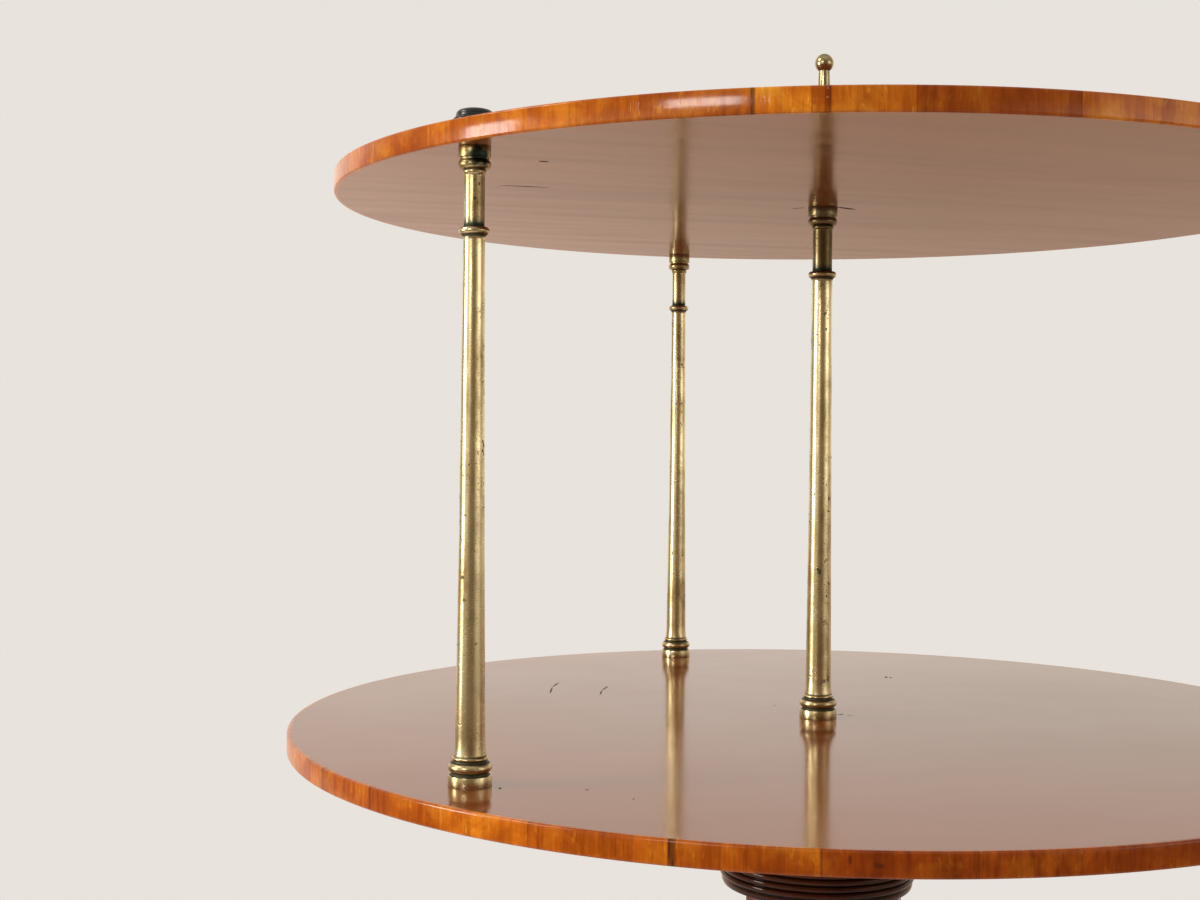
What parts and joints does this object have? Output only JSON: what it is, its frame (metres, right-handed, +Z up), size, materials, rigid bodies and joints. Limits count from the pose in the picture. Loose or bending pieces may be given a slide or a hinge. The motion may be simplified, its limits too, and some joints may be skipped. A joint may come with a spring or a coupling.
{
  "type": "dumbwaiter serving stand",
  "caption": "Round two-tier serving stand on turned brass columns, revolving on a three-cornered pedestal with downswept legs and brass castors.",
  "frame": {"origin": "on the floor under the axis of the stand", "axes": "+Z up the axis; column and leg 1 stand towards +Y, number 2 at 210 degrees and number 3 at 330 degrees, counted anticlockwise from +X"},
  "size_m": [0.61, 0.61, 0.9889],
  "materials": {
    "tier_veneer": "polished",
    "edge_crossbanding": "polished",
    "aged_brass": "aged",
    "fitting_brass": "aged",
    "black_lacquer": "gloss",
    "ebonised_mahogany": "polished",
    "mahogany": "polished",
    "steel": "dull",
    "wrought_iron": "matt"
  },
  "bodies": {
    "base": {"pedestal": "mahogany", "reeded_capital": "ebonised_mahogany", "spindle": "steel", "thrust_washer": "fitting_brass", "leg_1": "mahogany", "leg_2": "mahogany", "leg_3": "mahogany", "tripod_plate": "wrought_iron", "plate_screws": "steel", "castor_cap_1": "fitting_brass", "castor_cap_2": "fitting_brass", "castor_cap_3": "fitting_brass", "toe_cap_pins": "fitting_brass"},
    "stage": {"lower_tier": "tier_veneer", "lower_edge_band": "edge_crossbanding", "upper_tier": "tier_veneer", "upper_edge_band": "edge_crossbanding", "outer_column_1": "aged_brass", "outer_column_2": "aged_brass", "outer_column_3": "aged_brass", "centre_column": "aged_brass", "column_cap_1": "black_lacquer", "column_cap_2": "black_lacquer", "column_cap_3": "black_lacquer", "column_washers": "fitting_brass", "column_nuts": "fitting_brass", "centre_nut": "fitting_brass", "finial": "aged_brass", "stage_boss": "mahogany", "boss_bush": "fitting_brass", "boss_screws": "steel"},
    "castor_1": {"castor_fork_1": "fitting_brass", "castor_axle_1": "steel"},
    "wheel_1": {"castor_wheel_1": "fitting_brass"},
    "castor_2": {"castor_fork_2": "fitting_brass", "castor_axle_2": "steel"},
    "wheel_2": {"castor_wheel_2": "fitting_brass"},
    "castor_3": {"castor_fork_3": "fitting_brass", "castor_axle_3": "steel"},
    "wheel_3": {"castor_wheel_3": "fitting_brass"}
  },
  "joints": [
    {"name": "stage_turn", "type": "hinge", "parent": "base", "child": "stage", "pos_m": [0, 0, 0.5334], "axis": [0, 0, 1], "continuous": true},
    {"name": "castor_swivel_1", "type": "hinge", "parent": "base", "child": "castor_1", "pos_m": [0, 0.264, 0.04115], "axis": [0, 0, 1], "continuous": true},
    {"name": "castor_swivel_2", "type": "hinge", "parent": "base", "child": "castor_2", "pos_m": [-0.22863, -0.132, 0.04115], "axis": [0, 0, 1], "continuous": true},
    {"name": "castor_swivel_3", "type": "hinge", "parent": "base", "child": "castor_3", "pos_m": [0.22863, -0.132, 0.04115], "axis": [0, 0, 1], "continuous": true},
    {"name": "wheel_roll_1", "type": "hinge", "parent": "castor_1", "child": "wheel_1", "pos_m": [0, 0.276, 0.016], "axis": [-1, 0, 0], "continuous": true},
    {"name": "wheel_roll_2", "type": "hinge", "parent": "castor_2", "child": "wheel_2", "pos_m": [-0.23902, -0.138, 0.016], "axis": [0.5, -0.866, 0], "continuous": true},
    {"name": "wheel_roll_3", "type": "hinge", "parent": "castor_3", "child": "wheel_3", "pos_m": [0.23902, -0.138, 0.016], "axis": [0.5, 0.866, 0], "continuous": true}
  ]
}
